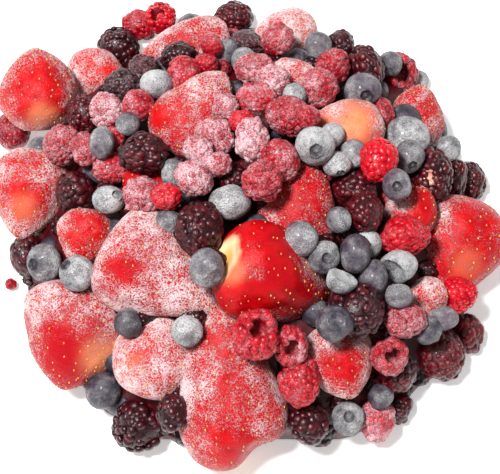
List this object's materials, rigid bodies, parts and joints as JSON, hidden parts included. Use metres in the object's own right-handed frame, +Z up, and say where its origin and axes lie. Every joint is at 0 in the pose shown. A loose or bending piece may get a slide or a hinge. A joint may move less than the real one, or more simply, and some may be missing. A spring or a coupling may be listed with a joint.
{
  "type": "heap of frozen mixed berries",
  "caption": "Loose heap of frozen mixed berries: strawberries, raspberries, dark bramble berries and blueberries, frosted, as tipped out of a bag.",
  "frame": {"origin": "on the floor under the middle of the heap, in its flat underside", "axes": "+Z up out of the heap; -Y towards the viewer of the picture; +X to the viewer's right"},
  "size_m": [0.1983, 0.1945, 0.0694],
  "materials": {
    "berries": "deep red, purple and blue-black fruit under white frost"
  },
  "bodies": {
    "root": {"berry_heap": "berries"}
  },
  "joints": []
}
